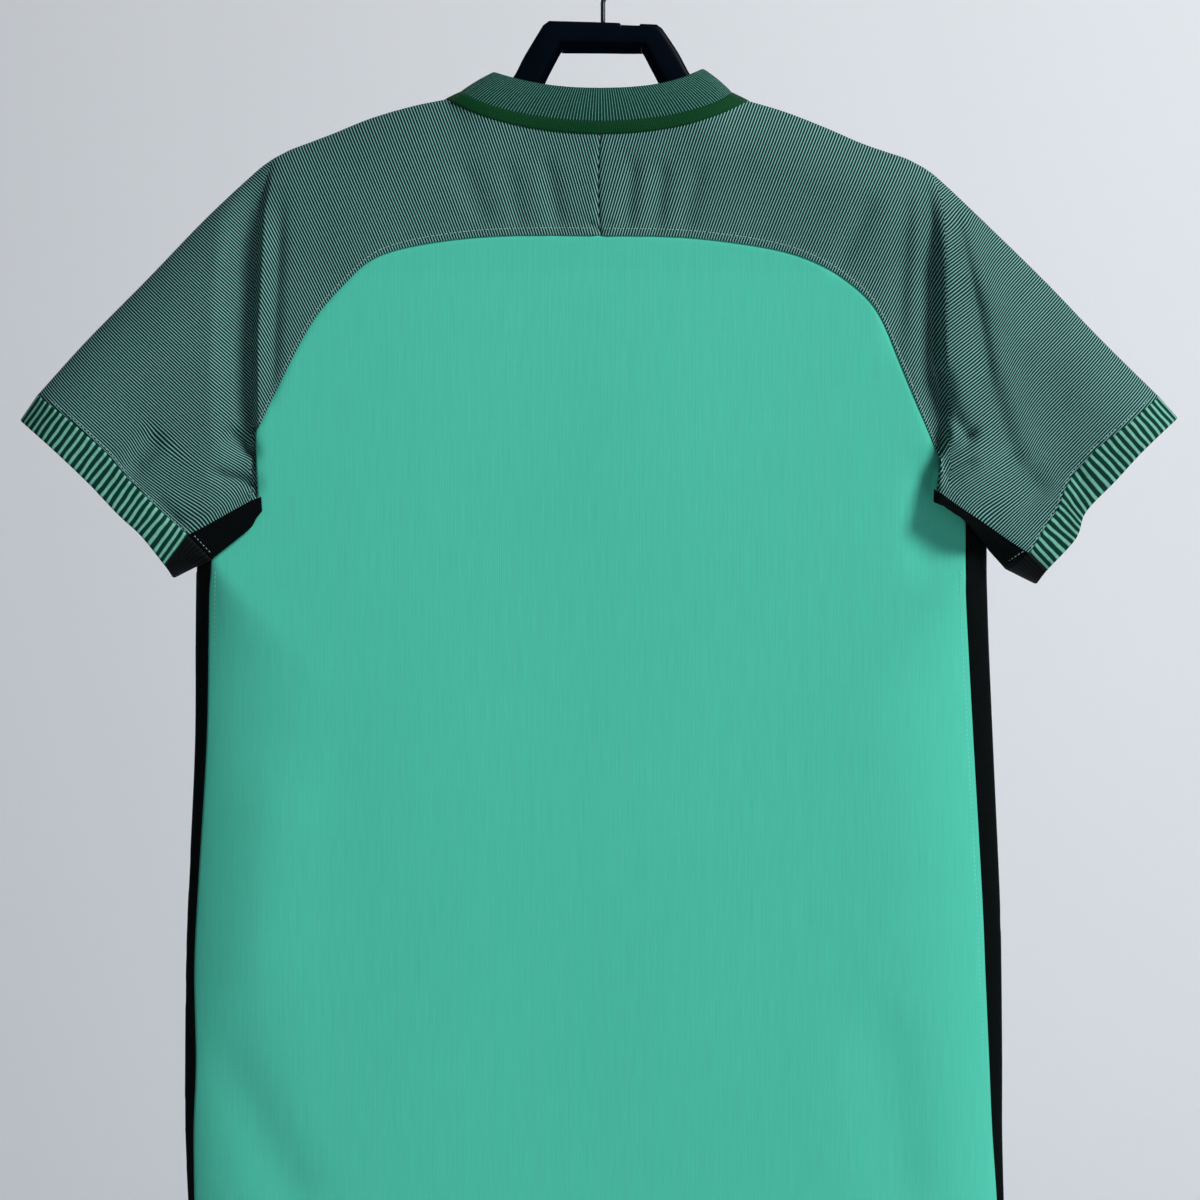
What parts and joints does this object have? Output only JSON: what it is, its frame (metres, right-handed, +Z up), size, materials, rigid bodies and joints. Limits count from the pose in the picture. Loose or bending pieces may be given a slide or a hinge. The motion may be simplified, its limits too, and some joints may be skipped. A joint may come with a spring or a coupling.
{
  "type": "football jersey on a hanger",
  "caption": "Short-sleeved football jersey with raglan sleeves, rib collar and striped cuffs, hanging flat on a plastic hanger.",
  "frame": {"origin": "the point inside the hook's crown that bears on the rail the hanger hangs from", "axes": "+Z up, -Y out of the jersey's back, which the picture shows, +Y out of its front, +X to the right for a viewer of the back"},
  "size_m": [0.7748, 0.0656, 0.869],
  "materials": {
    "mint": "smooth knit",
    "pinstripe": "fine striped knit",
    "black_mesh": "matt mesh knit",
    "rib": "striped rib knit",
    "trim_green": "fine rib knit",
    "plastic": "satin",
    "steel": "bright wire"
  },
  "bodies": {
    "root": {"back_panel": "mint", "front_panel": "mint", "sleeve_left": "pinstripe", "sleeve_right": "pinstripe", "side_panel_left": "black_mesh", "side_panel_right": "black_mesh", "gusset_left": "black_mesh", "gusset_right": "black_mesh", "cuff_left": "rib", "cuff_right": "rib", "cuff_under_left": "black_mesh", "cuff_under_right": "black_mesh", "collar": "rib", "collar_trim": "trim_green", "hanger": "plastic", "hook": "steel"}
  },
  "joints": []
}
